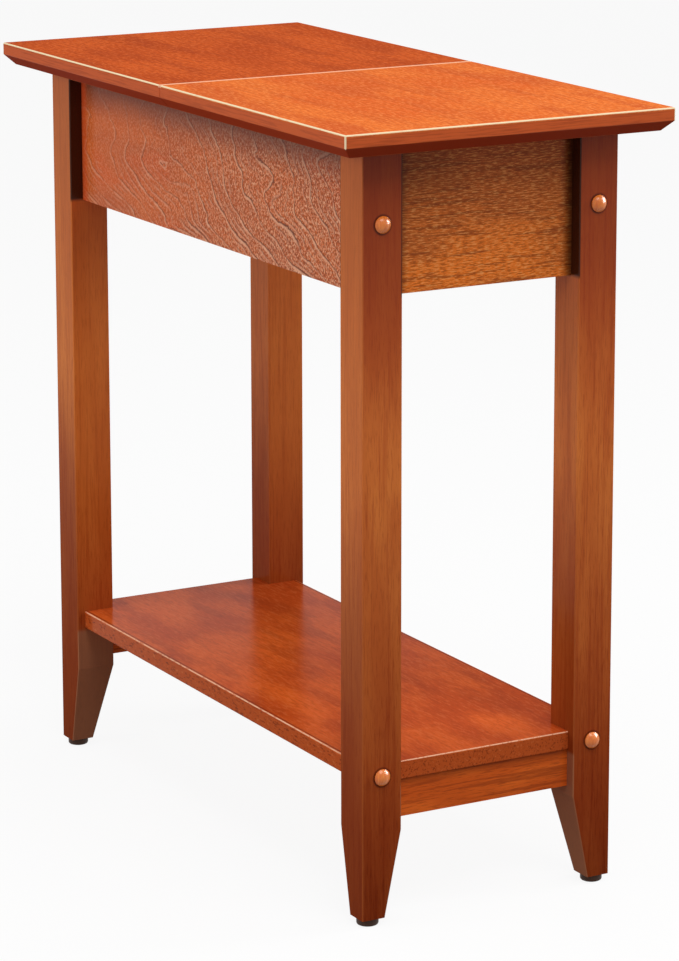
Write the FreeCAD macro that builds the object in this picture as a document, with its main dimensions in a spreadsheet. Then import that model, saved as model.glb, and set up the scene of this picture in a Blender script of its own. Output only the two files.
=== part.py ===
import FreeCAD, Part
import os
import re

import Sketcher

# A narrow end table with a flip-over lid, a storage box under the lid and a low shelf.
# The long side runs along X, the lid is at +X (front), Z points up and the floor is Z = 0.

# Driving sizes, in millimetres and degrees
SIZES = {
    # Whole table
    "table_length": 590,
    "table_width": 282,
    "table_height": 610,
    "fit_clearance": 0.15,
    "cut_overrun": 2,
    "pick_tolerance": 0.01,
    # Two halves of the top
    "top_thickness": 18,
    "top_band_height": 9.6,
    "top_bevel_reach": 8,
    "top_edge_radius": 1.2,
    "seam_gap": 0.8,
    "seam_edge_radius": 0.5,
    # Legs
    "leg_width": 33.6,
    "leg_inset_x": 30,
    "leg_inset_y": 31,
    "leg_taper_length": 67.5,
    "leg_taper_depth": 14,
    "leg_edge_radius": 1,
    # Aprons
    "apron_height": 110,
    "apron_thickness": 15,
    "apron_setback": 11,
    # Storage box
    "panel_thickness": 5,
    "panel_rise": 8,
    "groove_depth": 5,
    "divider_thickness": 15,
    # Shelf and the rails under its ends
    "shelf_top_height": 124.5,
    "shelf_thickness": 14.6,
    "shelf_end_setback": 8,
    "shelf_side_setback": 7,
    "shelf_edge_radius": 1,
    "rail_height": 29.4,
    "rail_thickness": 16,
    "rail_setback": 1,
    # Glides under the legs
    "glide_height": 6,
    "glide_diameter": 17,
    "glide_chamfer": 1.5,
    "nail_diameter": 3,
    "nail_length": 14,
    "nail_point": 3,
    # Bolts, barrel nuts and the buttons that cover them
    "bolt_diameter": 6,
    "bolt_head_diameter": 9.6,
    "bolt_head_height": 6,
    "bolt_reach": 30,
    "nut_diameter": 10,
    "nut_length": 10,
    "nut_blind_end": 4,
    "nut_setback": 20,
    "plug_stem_diameter": 10,
    "plug_stem_length": 6,
    "plug_cap_diameter": 13,
    "plug_cap_height": 4.5,
    "plug_rim_height": 1,
    # Dowels
    "dowel_diameter": 8,
    "dowel_length": 30,
    "dowel_chamfer": 1,
    "side_dowel_share": 0.18,
    "end_dowel_share": 0.3,
    # Brackets under the fixed half, and wood screws
    "bracket_leg": 18,
    "bracket_width": 20,
    "bracket_thickness": 2,
    "bracket_hole_setback": 11,
    "bracket_offset": 45,
    "screw_diameter": 3.5,
    "screw_head_diameter": 7,
    "screw_head_height": 2.2,
    "screw_point": 3,
    "bracket_screw_length": 12,
    "rail_screw_length": 32,
    "rail_screw_recess": 6,
    "rail_screw_inset": 31.4,
    # Concealed barrel hinges
    "hinge_offset": 75,
    "barrel_diameter": 14,
    "barrel_length": 14,
    "barrel_drop": 9,
    "barrel_chamfer": 0.8,
    "fold_gap": 0.3,
    "leaf_inner_radius": 6.5,
    "leaf_outer_radius": 12,
    "leaf_thickness": 1.6,
    "leaf_side_gap": 0.2,
    "leaf_round_gap": 0.3,
    "leaf_reach_angle": 63,
    "leaf_lead_angle": 20,
    "leaf_middle_angle": 50,
    "slot_spare_angle": 2,
}

# Places that follow from the driving sizes
PLACES = {
    "under_top": "table_height - top_thickness",
    "leg_outer_x": "table_length / 2 - leg_inset_x",
    "leg_outer_y": "table_width / 2 - leg_inset_y",
    "leg_centre_x": "leg_outer_x - leg_width / 2",
    "leg_centre_y": "leg_outer_y - leg_width / 2",
    "leg_inner_x": "leg_outer_x - leg_width",
    "leg_inner_y": "leg_outer_y - leg_width",
    "leg_length": "under_top - glide_height",
    "leg_foot_shift": "leg_taper_depth / 2",
    "bevel_rise": "top_thickness - top_band_height",
    "apron_bottom": "under_top - apron_height",
    "apron_middle": "under_top - apron_height / 2",
    "side_inner_y": "leg_outer_y - apron_setback - apron_thickness",
    "side_apron_y": "side_inner_y + apron_thickness / 2",
    "end_inner_x": "leg_outer_x - apron_setback - apron_thickness",
    "end_apron_x": "end_inner_x + apron_thickness / 2",
    "panel_bottom": "apron_bottom + panel_rise",
    "panel_top": "panel_bottom + panel_thickness",
    "panel_end_x": "end_inner_x + groove_depth - fit_clearance",
    "panel_side_y": "side_inner_y + groove_depth - fit_clearance",
    "divider_height": "under_top - panel_top",
    "shelf_bottom": "shelf_top_height - shelf_thickness",
    "shelf_middle": "shelf_top_height - shelf_thickness / 2",
    "shelf_end_x": "leg_outer_x - shelf_end_setback",
    "shelf_side_y": "leg_outer_y - shelf_side_setback",
    "rail_x": "shelf_end_x - rail_setback - rail_thickness / 2",
    "rail_bottom": "shelf_bottom - rail_height",
    "rail_middle": "shelf_bottom - rail_height / 2",
    "plug_bore": "plug_stem_diameter + 2 * fit_clearance",
    "plug_bore_depth": "plug_stem_length + bolt_head_height",
    "bolt_bore": "bolt_diameter + 2 * fit_clearance",
    "bolt_shank_length": "leg_width - plug_bore_depth + bolt_reach",
    "nut_bore": "nut_diameter + 2 * fit_clearance",
    "nut_x": "leg_inner_x - nut_setback",
    "dowel_bore": "dowel_diameter + 2 * fit_clearance",
    "dowel_depth": "dowel_length / 2",
    "side_dowel_offset": "apron_height * side_dowel_share",
    "end_dowel_offset": "apron_height * end_dowel_share",
    "screw_bore": "screw_diameter + 2 * fit_clearance",
    "screw_head_bore": "screw_head_diameter + 2 * fit_clearance",
    "bracket_front_x": "-divider_thickness / 2 - bracket_offset",
    "bracket_back_x": "-leg_inner_x + bracket_offset",
    "bracket_screw_grip": "bracket_screw_length - bracket_thickness",
    "rail_screw_grip": "rail_screw_length - rail_height + rail_screw_recess",
    "rail_screw_y": "leg_inner_y - rail_screw_inset",
    "hinge_axis_z": "table_height + fold_gap / 2",
    "barrel_z": "table_height - barrel_drop",
    "barrel_bore": "barrel_diameter + 2 * fit_clearance",
    "leaf_pitch": "leaf_thickness + leaf_side_gap",
    "slot_width": "3 * leaf_thickness + 4 * leaf_side_gap",
    "slot_inner_radius": "leaf_inner_radius - leaf_round_gap",
    "slot_outer_radius": "leaf_outer_radius + leaf_round_gap",
    "slot_angle": "leaf_reach_angle + slot_spare_angle",
}

doc = FreeCAD.newDocument("EndTable")
sheet = doc.addObject("Spreadsheet::Sheet", "Sizes")
for row, (alias, number) in enumerate(SIZES.items(), start=1):
    sheet.set(f"A{row}", alias)
    sheet.set(f"B{row}", str(number))
    sheet.setAlias(f"B{row}", alias)
doc.recompute()

subparts = []


# Formulas in plain words
def bound(formula):
    """Writes a formula of named sizes and places as an expression on the sheet."""
    def expand(match):
        word = match.group()
        if word in PLACES:
            return f"({bound(PLACES[word])})"
        return f"Sizes.{word}" if word in SIZES else word
    return re.sub(r"[a-z][a-z_]*", expand, formula)


def value(formula):
    return float(sheet.evalExpression(bound(formula)))


def bind(thing, field, formula):
    thing.setExpression(field, bound(formula))


def place(thing, x="0", y="0", z="0", turn=FreeCAD.Rotation()):
    thing.Placement = FreeCAD.Placement(FreeCAD.Vector(value(x), value(y), value(z)), turn)
    for axis, formula in zip("xyz", (x, y, z)):
        bind(thing, f"Placement.Base.{axis}", formula)


# Bodies, sketches and features
def new_body(label):
    body = doc.addObject("PartDesign::Body", label)
    body.Label = label
    return body


def new_sketch(body, name, plane, at):
    """Attaches a sketch to one of the body's origin planes, moved along the axis that it faces."""
    sketch = body.newObject("Sketcher::SketchObject", name)
    support = [item for item in body.Origin.OriginFeatures if item.Role == f"{plane}_Plane"]
    sketch.AttachmentSupport = [(support[0], "")]
    sketch.MapMode = "FlatFace"
    bind(sketch, "AttachmentOffset.Base.z", f"-({at})" if plane == "XZ" else at)
    return sketch


def fix_point(sketch, line, end, x, y):
    for kind, formula in (("DistanceX", x), ("DistanceY", y)):
        index = sketch.addConstraint(Sketcher.Constraint(kind, -1, 1, line, end, value(formula)))
        bind(sketch, f"Constraints[{index}]", formula)


def outline(body, name, plane, loops, at="0"):
    """Draws closed outlines of straight lines through the given corners."""
    sketch = new_sketch(body, name, plane, at)
    for corners in loops:
        points = [FreeCAD.Vector(value(x), value(y), 0) for x, y in corners]
        first = sketch.GeometryCount
        for index, point in enumerate(points):
            sketch.addGeometry(Part.LineSegment(point, points[(index + 1) % len(points)]), False)
        for index, (x, y) in enumerate(corners):
            line = first + index
            following = first + (index + 1) % len(corners)
            sketch.addConstraint(Sketcher.Constraint("Coincident", line, 2, following, 1))
            fix_point(sketch, line, 1, x, y)
    return sketch


def rounds(body, name, plane, centres, diameter, at="0"):
    """Draws circles of one diameter."""
    sketch = new_sketch(body, name, plane, at)
    for x, y in centres:
        centre = FreeCAD.Vector(value(x), value(y), 0)
        normal = FreeCAD.Vector(0, 0, 1)
        circle = sketch.addGeometry(Part.Circle(centre, normal, value(diameter) / 2), False)
        index = sketch.addConstraint(Sketcher.Constraint("Diameter", circle, value(diameter)))
        bind(sketch, f"Constraints[{index}]", diameter)
        fix_point(sketch, circle, 3, x, y)
    return sketch


def box_corners(low_x, low_y, high_x, high_y):
    return [(low_x, low_y), (high_x, low_y), (high_x, high_y), (low_x, high_y)]


def pad(body, sketch, length, both_ways=False):
    feature = body.newObject("PartDesign::Pad", f"{sketch.Name}_pad")
    feature.Profile = sketch
    bind(feature, "Length", length)
    if both_ways:
        feature.SideType = "Symmetric"
    doc.recompute()
    return feature


def cut(body, sketch, depth=None, toward=1):
    """Cuts a sketch's outline right through, or to a depth toward the + or - end of its axis."""
    before = body.Shape.Volume
    feature = body.newObject("PartDesign::Pocket", f"{sketch.Name}_cut")
    feature.Profile = sketch
    if depth is None:
        feature.Type = "ThroughAll"
        feature.SideType = "Symmetric"
    else:
        bind(feature, "Length", depth)
        plane = sketch.AttachmentSupport[0][0].Role
        feature.Reversed = toward > 0 if plane != "XZ_Plane" else toward < 0
    doc.recompute()
    if body.Shape.Volume >= before:
        raise RuntimeError(f"{feature.Label} cuts nothing")
    return feature


def ease(body, radius, chosen):
    """Rounds the edges that the test picks by their middle point and direction."""
    base, names = body.Tip, []
    for index, edge in enumerate(body.Shape.Edges, start=1):
        start, end = edge.Vertexes[0].Point, edge.Vertexes[-1].Point
        if chosen((start + end) / 2, end - start):
            names.append(f"Edge{index}")
    feature = body.newObject("PartDesign::Fillet", f"{body.Name}_eased")
    feature.Base = (base, names)
    bind(feature, "Radius", radius)
    doc.recompute()


def same(a, b):
    return abs(a - b) < value("pick_tolerance")


def turned(name, corners, dome=False):
    """Turns a profile of (radius, height) corners about Z; a dome's last side is an arc onto the axis."""
    body = new_body(name)
    sketch = outline(body, f"{name}_profile", "XZ", [corners])
    if dome:
        arch(sketch, corners)
    feature = body.newObject("PartDesign::Revolution", f"{name}_turned")
    feature.Profile = sketch
    feature.ReferenceAxis = (sketch, ["V_Axis"])
    doc.recompute()
    return body


def arch(sketch, corners):
    """Puts an arc, with its centre on the axis, in place of the side that ends at the last corner."""
    rim, crown = (FreeCAD.Vector(value(x), value(y), 0) for x, y in corners[-2:])
    chord = len(corners) - 2
    rise = crown.y - rim.y
    radius = (rim.x ** 2 + rise ** 2) / (2 * rise)
    centre = FreeCAD.Vector(0, crown.y - radius, 0)
    middle = centre + ((rim + crown) / 2 - centre).normalize() * radius
    sketch.setConstruction(chord, True)
    arc = sketch.addGeometry(Part.Arc(rim, middle, crown), False)
    start, end = (1, 2) if sketch.Geometry[arc].StartPoint.isEqual(rim, value("pick_tolerance")) else (2, 1)
    sketch.addConstraint(Sketcher.Constraint("Coincident", arc, start, chord, 1))
    sketch.addConstraint(Sketcher.Constraint("Coincident", arc, end, chord, 2))
    sketch.addConstraint(Sketcher.Constraint("PointOnObject", arc, 3, -2))


def keep(label, *members):
    """Lists a finished sub-part; several like pieces become one group of separate solids."""
    thing = members[0]
    if len(members) > 1:
        thing = doc.addObject("Part::Compound", label)
        thing.Links = list(members)
    thing.Label = label
    subparts.append(thing)


CORNERS = [
    ("front_left", 1, -1),
    ("front_right", 1, 1),
    ("back_left", -1, -1),
    ("back_right", -1, 1),
]
ENDS = [("front", 1), ("back", -1)]
SIDES = [("left", -1), ("right", 1)]
X_AXIS = FreeCAD.Vector(1, 0, 0)
Y_AXIS = FreeCAD.Vector(0, 1, 0)
ALONG = {
    ("x", 1): FreeCAD.Rotation(Y_AXIS, 90),
    ("x", -1): FreeCAD.Rotation(Y_AXIS, -90),
    ("y", 1): FreeCAD.Rotation(X_AXIS, -90),
    ("y", -1): FreeCAD.Rotation(X_AXIS, 90),
}


# Top: each half has a square seam edge, an upright band and a bevel underneath on its outer edges
def make_top(label, end):
    body = new_body(label)
    seam_x = f"{end} * seam_gap / 2"
    edge_x = f"{end} * table_length / 2"
    plate = box_corners(seam_x, "-table_width / 2", edge_x, "table_width / 2")
    pad(body, outline(body, f"{label}_plate", "XY", [plate]), "top_thickness")

    seam, top = value(seam_x), value("top_thickness")
    ease(body, "top_edge_radius", lambda middle, way: (
        not same(middle.x, seam) and (same(middle.z, top) or not same(way.z, 0))
    ))
    ease(body, "seam_edge_radius", lambda middle, way: same(middle.z, top) and same(middle.x, seam))

    def bevel(side, half):
        return [
            (f"{side} * ({half} - top_bevel_reach)", "0"),
            (f"{side} * {half}", "bevel_rise"),
            (f"{side} * ({half} + cut_overrun)", "bevel_rise"),
            (f"{side} * ({half} + cut_overrun)", "-cut_overrun"),
            (f"{side} * ({half} - top_bevel_reach)", "-cut_overrun"),
        ]

    half_width = "table_width / 2"
    cut(body, outline(body, f"{label}_long_bevels", "YZ", [bevel(-1, half_width), bevel(1, half_width)]))
    cut(body, outline(body, f"{label}_end_bevel", "XZ", [bevel(end, "table_length / 2")]))

    bore_z = "top_thickness - barrel_drop"
    bores = [("-hinge_offset", bore_z), ("hinge_offset", bore_z)]
    cut(body, rounds(body, f"{label}_bores", "YZ", bores, "barrel_bore", seam_x), "barrel_length", end)
    place(body, z="under_top")
    return body


def make_tops():
    keep("lid", make_top("lid", 1))
    fixed = make_top("fixed_top", -1)
    pilots = []
    for x in ("bracket_front_x", "bracket_back_x"):
        for _, side in SIDES:
            pilots.append((x, f"{side} * (side_inner_y - bracket_hole_setback)"))
    cut(fixed, rounds(fixed, "fixed_top_pilots", "XY", pilots, "screw_bore"), "bracket_screw_grip")
    keep("fixed_top", fixed)


# Legs: square posts that taper to the foot on their two inner faces
def make_leg(corner, end, side):
    label = f"leg_{corner}"
    body = new_body(label)
    half = "leg_width / 2"
    post = box_corners(f"-{half}", f"-{half}", half, half)
    pad(body, outline(body, f"{label}_post", "XY", [post]), "leg_length")

    def taper(way):
        return [
            (f"{-way} * ({half} + cut_overrun)", "leg_taper_length"),
            (f"{-way} * {half}", "leg_taper_length"),
            (f"{-way} * ({half} - leg_taper_depth)", "0"),
            (f"{-way} * ({half} - leg_taper_depth)", "-cut_overrun"),
            (f"{-way} * ({half} + cut_overrun)", "-cut_overrun"),
        ]

    cut(body, outline(body, f"{label}_taper_x", "XZ", [taper(end)]))
    cut(body, outline(body, f"{label}_taper_y", "YZ", [taper(side)]))
    ease(body, "leg_edge_radius", lambda middle, way: abs(way.z) > abs(way.x) + abs(way.y))

    bolts = [("0", "apron_middle - glide_height"), ("0", "shelf_middle - glide_height")]
    face_x = f"{end} * {half}"
    cut(body, rounds(body, f"{label}_plug_bores", "YZ", bolts, "plug_bore", face_x), "plug_bore_depth", -end)
    cut(body, rounds(body, f"{label}_bolt_bores", "YZ", bolts, "bolt_bore"))

    across = f"{side} * (side_apron_y - leg_centre_y)"
    middle = "apron_middle - glide_height"
    side_dowels = [(across, f"{middle} {sign} side_dowel_offset") for sign in "-+"]
    inner_x = f"{-end} * {half}"
    side_bores = rounds(body, f"{label}_side_dowels", "YZ", side_dowels, "dowel_bore", inner_x)
    cut(body, side_bores, "dowel_depth", end)

    along = f"{end} * (end_apron_x - leg_centre_x)"
    end_dowels = [(along, f"{middle} {sign} end_dowel_offset") for sign in "-+"]
    end_dowels.append((f"{end} * (rail_x - leg_centre_x)", "rail_middle - glide_height"))
    inner_y = f"{-side} * {half}"
    end_bores = rounds(body, f"{label}_end_dowels", "XZ", end_dowels, "dowel_bore", inner_y)
    cut(body, end_bores, "dowel_depth", side)

    nail = [(f"{end} * leg_foot_shift", f"{side} * leg_foot_shift")]
    nail_bore = rounds(body, f"{label}_nail", "XY", nail, "nail_diameter + 2 * fit_clearance")
    cut(body, nail_bore, "nail_length + fit_clearance")
    place(body, f"{end} * leg_centre_x", f"{side} * leg_centre_y", "glide_height")
    keep(label, body)


def make_glide(corner, end, side):
    label = f"glide_{corner}"
    body = turned(label, [
        ("0", "0"),
        ("glide_diameter / 2 - glide_chamfer", "0"),
        ("glide_diameter / 2", "glide_chamfer"),
        ("glide_diameter / 2", "glide_height"),
        ("nail_diameter / 2", "glide_height"),
        ("nail_diameter / 2", "glide_height + nail_length - nail_point"),
        ("0", "glide_height + nail_length"),
    ])
    foot_x = f"{end} * (leg_centre_x + leg_foot_shift)"
    foot_y = f"{side} * (leg_centre_y + leg_foot_shift)"
    place(body, foot_x, foot_y)
    keep(label, body)


# Aprons: boards between the legs, grooved for the storage box
def make_side_apron(side_name, side):
    label = f"side_apron_{side_name}"
    body = new_body(label)
    board = box_corners("-leg_inner_x", "0", "leg_inner_x", "apron_height")
    pad(body, outline(body, f"{label}_board", "XZ", [board]), "apron_thickness", both_ways=True)

    face = f"{-side} * apron_thickness / 2"
    beyond = f"{-side} * (apron_thickness / 2 + cut_overrun)"
    depth = f"{-side} * (apron_thickness / 2 - groove_depth)"
    groove = box_corners(beyond, "panel_rise", depth, "panel_rise + panel_thickness + fit_clearance")
    cut(body, outline(body, f"{label}_groove", "YZ", [groove]))
    half_dado = "(divider_thickness / 2 + fit_clearance)"
    dado = box_corners(f"-{half_dado}", "panel_rise", half_dado, "apron_height + cut_overrun")
    cut(body, outline(body, f"{label}_dado", "XZ", [dado], face), "groove_depth", side)

    bolt_y = f"{side} * (leg_centre_y - side_apron_y)"
    dowels = [("0", f"apron_height / 2 {sign} side_dowel_offset") for sign in "-+"]
    for end_name, end in ENDS:
        name = f"{label}_{end_name}"
        end_x = f"{end} * leg_inner_x"
        bolt = rounds(body, f"{name}_bolt", "YZ", [(bolt_y, "apron_height / 2")], "bolt_bore", end_x)
        cut(body, bolt, "bolt_reach + fit_clearance", -end)
        cut(body, rounds(body, f"{name}_dowels", "YZ", dowels, "dowel_bore", end_x), "dowel_depth", -end)
    nuts = [("-nut_x", "apron_height / 2"), ("nut_x", "apron_height / 2")]
    nut_depth = "leg_centre_y + nut_blind_end - side_inner_y + fit_clearance"
    cut(body, rounds(body, f"{label}_nuts", "XZ", nuts, "nut_bore", face), nut_depth, side)
    pilots = [(x, "apron_height - bracket_hole_setback") for x in ("bracket_front_x", "bracket_back_x")]
    cut(body, rounds(body, f"{label}_pilots", "XZ", pilots, "screw_bore", face), "bracket_screw_grip", side)
    place(body, y=f"{side} * side_apron_y", z="apron_bottom")
    keep(label, body)


def make_end_apron(end_name, end):
    label = f"end_apron_{end_name}"
    body = new_body(label)
    board = box_corners("-leg_inner_y", "0", "leg_inner_y", "apron_height")
    pad(body, outline(body, f"{label}_board", "YZ", [board]), "apron_thickness", both_ways=True)
    beyond = f"{-end} * (apron_thickness / 2 + cut_overrun)"
    depth = f"{-end} * (apron_thickness / 2 - groove_depth)"
    groove = box_corners(beyond, "panel_rise", depth, "panel_rise + panel_thickness + fit_clearance")
    cut(body, outline(body, f"{label}_groove", "XZ", [groove]))
    dowels = [("0", f"apron_height / 2 {sign} end_dowel_offset") for sign in "-+"]
    for side_name, side in SIDES:
        end_y = f"{side} * leg_inner_y"
        bores = rounds(body, f"{label}_{side_name}_dowels", "XZ", dowels, "dowel_bore", end_y)
        cut(body, bores, "dowel_depth", -side)
    place(body, x=f"{end} * end_apron_x", z="apron_bottom")
    keep(label, body)


# Storage box: a thin bottom in the grooves and a board under the seam
def notched(end_x, side_y, notch_x, notch_y):
    """Gives the corners of a rectangle whose four corners are cut out round the legs."""
    quarter = [(notch_x, side_y), (notch_x, notch_y), (end_x, notch_y)]
    corners = []
    for end, side, order in ((1, 1, 1), (1, -1, -1), (-1, -1, 1), (-1, 1, -1)):
        corners += [(f"{end} * ({x})", f"{side} * ({y})") for x, y in quarter[::order]]
    return corners


def make_storage_box():
    bottom = new_body("compartment_bottom")
    sheet_corners = notched(
        "panel_end_x", "panel_side_y", "leg_inner_x - fit_clearance", "leg_inner_y - fit_clearance"
    )
    pad(bottom, outline(bottom, "bottom_sheet", "XY", [sheet_corners]), "panel_thickness")
    place(bottom, z="panel_bottom")
    keep("compartment_bottom", bottom)

    divider = new_body("compartment_divider")
    board = box_corners("-panel_side_y", "0", "panel_side_y", "divider_height")
    pad(divider, outline(divider, "divider_board", "YZ", [board]), "divider_thickness", both_ways=True)
    place(divider, z="panel_top")
    keep("compartment_divider", divider)


# Shelf and the rails under its ends
def make_shelf():
    body = new_body("shelf")
    board = notched("shelf_end_x", "shelf_side_y", "leg_inner_x", "leg_inner_y")
    pad(body, outline(body, "shelf_board", "XY", [board]), "shelf_thickness")
    end_x, side_y = value("shelf_end_x"), value("shelf_side_y")
    ease(body, "shelf_edge_radius", lambda middle, way: (
        not way.z and (same(abs(middle.x), end_x) or same(abs(middle.y), side_y))
    ))
    nuts = []
    for end_name, end in ENDS:
        bolts = [(f"{side} * leg_centre_y", "shelf_thickness / 2") for _, side in SIDES]
        bores = rounds(body, f"shelf_{end_name}_bolts", "YZ", bolts, "bolt_bore", f"{end} * leg_inner_x")
        cut(body, bores, "bolt_reach + fit_clearance", -end)
        nuts += [(f"{end} * nut_x", f"{side} * leg_centre_y") for _, side in SIDES]
    nut_depth = "shelf_thickness / 2 + nut_blind_end + fit_clearance"
    cut(body, rounds(body, "shelf_nuts", "XY", nuts, "nut_bore"), nut_depth)
    pilots = []
    for _, end in ENDS:
        pilots += [(f"{end} * rail_x", f"{side} * rail_screw_y") for _, side in SIDES]
    cut(body, rounds(body, "shelf_pilots", "XY", pilots, "screw_bore"), "rail_screw_grip + fit_clearance")
    place(body, z="shelf_bottom")
    keep("shelf", body)


def make_rail(end_name, end):
    label = f"shelf_rail_{end_name}"
    body = new_body(label)
    board = box_corners("-leg_inner_y", "0", "leg_inner_y", "rail_height")
    pad(body, outline(body, f"{label}_board", "YZ", [board]), "rail_thickness", both_ways=True)
    screws = [("0", f"{side} * rail_screw_y") for _, side in SIDES]
    cut(body, rounds(body, f"{label}_recesses", "XY", screws, "screw_head_bore"), "rail_screw_recess")
    cut(body, rounds(body, f"{label}_screws", "XY", screws, "screw_bore"))
    seat = [("0", "rail_height / 2")]
    for side_name, side in SIDES:
        end_y = f"{side} * leg_inner_y"
        dowel = rounds(body, f"{label}_{side_name}_dowel", "XZ", seat, "dowel_bore", end_y)
        cut(body, dowel, "dowel_depth", -side)
    place(body, x=f"{end} * rail_x", z="rail_bottom")
    keep(label, body)


# Fasteners, each turned about its own Z axis and then laid along the way it points
def make_bolt_set(row, height, nut_turn):
    bolts, nuts, plugs = [], [], []
    for corner, end, side in CORNERS:
        bolt = turned(f"{row}_bolt_{corner}", [
            ("0", "0"),
            ("bolt_head_diameter / 2", "0"),
            ("bolt_head_diameter / 2", "bolt_head_height"),
            ("bolt_diameter / 2", "bolt_head_height"),
            ("bolt_diameter / 2", "bolt_head_height + bolt_shank_length"),
            ("0", "bolt_head_height + bolt_shank_length"),
        ])
        bolt_y = f"{side} * leg_centre_y"
        place(bolt, f"{end} * (leg_outer_x - plug_stem_length)", bolt_y, height, ALONG["x", -end])
        bolts.append(bolt)

        plug = turned(f"{row}_plug_{corner}", [
            ("0", "-plug_stem_length"),
            ("plug_stem_diameter / 2", "-plug_stem_length"),
            ("plug_stem_diameter / 2", "0"),
            ("plug_cap_diameter / 2", "0"),
            ("plug_cap_diameter / 2", "plug_rim_height"),
            ("0", "plug_cap_height"),
        ], dome=True)
        place(plug, f"{end} * leg_outer_x", bolt_y, height, ALONG["x", end])
        plugs.append(plug)

        nut = new_body(f"{row}_nut_{corner}")
        blank = rounds(nut, f"{row}_nut_blank_{corner}", "XY", [("0", "0")], "nut_diameter", "-nut_blind_end")
        pad(nut, blank, "nut_length")
        thread = rounds(nut, f"{row}_nut_thread_{corner}", "YZ", [("0", "0")], "bolt_bore")
        cut(nut, thread)
        place(nut, f"{end} * nut_x", bolt_y, height, nut_turn[side])
        nuts.append(nut)
    keep(f"{row}_bolts", *bolts)
    keep(f"{row}_barrel_nuts", *nuts)
    keep(f"{row}_bolt_plugs", *plugs)


def make_dowels(label, seats):
    """Makes dowels with chamfered ends, each centred on a seat and lying along X or Y."""
    dowels = []
    for index, (x, y, z, axis) in enumerate(seats, start=1):
        dowel = turned(f"{label}_{index}", [
            ("0", "-dowel_depth"),
            ("dowel_diameter / 2 - dowel_chamfer", "-dowel_depth"),
            ("dowel_diameter / 2", "dowel_chamfer - dowel_depth"),
            ("dowel_diameter / 2", "dowel_depth - dowel_chamfer"),
            ("dowel_diameter / 2 - dowel_chamfer", "dowel_depth"),
            ("0", "dowel_depth"),
        ])
        place(dowel, x, y, z, ALONG[axis, 1])
        dowels.append(dowel)
    keep(label, *dowels)


def make_all_dowels():
    side_seats, end_seats, rail_seats = [], [], []
    for _, end, side in CORNERS:
        leg_x, leg_y = f"{end} * leg_inner_x", f"{side} * leg_inner_y"
        for sign in "-+":
            side_z = f"apron_middle {sign} side_dowel_offset"
            side_seats.append((leg_x, f"{side} * side_apron_y", side_z, "x"))
            end_z = f"apron_middle {sign} end_dowel_offset"
            end_seats.append((f"{end} * end_apron_x", leg_y, end_z, "y"))
        rail_seats.append((f"{end} * rail_x", leg_y, "rail_middle", "y"))
    make_dowels("side_apron_dowels", side_seats)
    make_dowels("end_apron_dowels", end_seats)
    make_dowels("rail_dowels", rail_seats)


def make_screw(name, length):
    """Makes a pan-head wood screw that points up from the underside of its head's seat."""
    return turned(name, [
        ("0", "-screw_head_height"),
        ("screw_head_diameter / 2", "-screw_head_height"),
        ("screw_head_diameter / 2", "0"),
        ("screw_diameter / 2", "0"),
        ("screw_diameter / 2", f"{length} - screw_point"),
        ("0", length),
    ])


def make_rail_screws():
    screws = []
    for end_name, end in ENDS:
        for side_name, side in SIDES:
            screw = make_screw(f"rail_screw_{end_name}_{side_name}", "rail_screw_length")
            seat_z = "rail_bottom + rail_screw_recess"
            place(screw, f"{end} * rail_x", f"{side} * rail_screw_y", seat_z)
            screws.append(screw)
    keep("rail_screws", *screws)


def make_brackets():
    """Makes the angle brackets that hold the fixed half of the top to the side aprons."""
    brackets, apron_screws, top_screws = [], [], []
    for side_name, side in SIDES:
        for row, x in (("front", "bracket_front_x"), ("back", "bracket_back_x")):
            name = f"bracket_{side_name}_{row}"
            body = new_body(name)
            angle = [
                ("0", "0"),
                (f"{-side} * bracket_leg", "0"),
                (f"{-side} * bracket_leg", "-bracket_thickness"),
                (f"{-side} * bracket_thickness", "-bracket_thickness"),
                (f"{-side} * bracket_thickness", "-bracket_leg"),
                ("0", "-bracket_leg"),
            ]
            pad(body, outline(body, f"{name}_angle", "YZ", [angle]), "bracket_width", both_ways=True)
            top_hole = [("0", f"{-side} * bracket_hole_setback")]
            cut(body, rounds(body, f"{name}_top_hole", "XY", top_hole, "screw_bore"))
            apron_hole = [("0", "-bracket_hole_setback")]
            cut(body, rounds(body, f"{name}_apron_hole", "XZ", apron_hole, "screw_bore"))
            place(body, x, f"{side} * side_inner_y", "under_top")
            brackets.append(body)

            top_screw = make_screw(f"{name}_top_screw", "bracket_screw_length")
            screw_y = f"{side} * (side_inner_y - bracket_hole_setback)"
            place(top_screw, x, screw_y, "under_top - bracket_thickness")
            top_screws.append(top_screw)
            apron_screw = make_screw(f"{name}_apron_screw", "bracket_screw_length")
            seat_y = f"{side} * (side_inner_y - bracket_thickness)"
            place(apron_screw, x, seat_y, "under_top - bracket_hole_setback", ALONG["y", side])
            apron_screws.append(apron_screw)
    keep("top_brackets", *brackets)
    keep("bracket_apron_screws", *apron_screws)
    keep("bracket_top_screws", *top_screws)


# Concealed hinges: brass barrels in the seam edges, slotted for three curved leaves that turn about
# the line just above the seam, so that the lid can lie flat on the fixed half
def make_sector(name, inner, outer, start_angle, span_angle, width):
    """Makes a ring sector about its own Z axis, from a start angle through a span."""
    wedge = doc.addObject("Part::Cylinder", f"{name}_wedge")
    bind(wedge, "Radius", outer)
    bind(wedge, "Height", width)
    bind(wedge, "Angle", f"({span_angle}) * 1 deg")
    bind(wedge, "Placement.Rotation.Angle", f"({start_angle}) * 1 deg")
    core = doc.addObject("Part::Cylinder", f"{name}_core")
    bind(core, "Radius", inner)
    bind(core, "Height", width)
    sector = doc.addObject("Part::Cut", name)
    sector.Base = wedge
    sector.Tool = core
    doc.recompute()
    return sector


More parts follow.
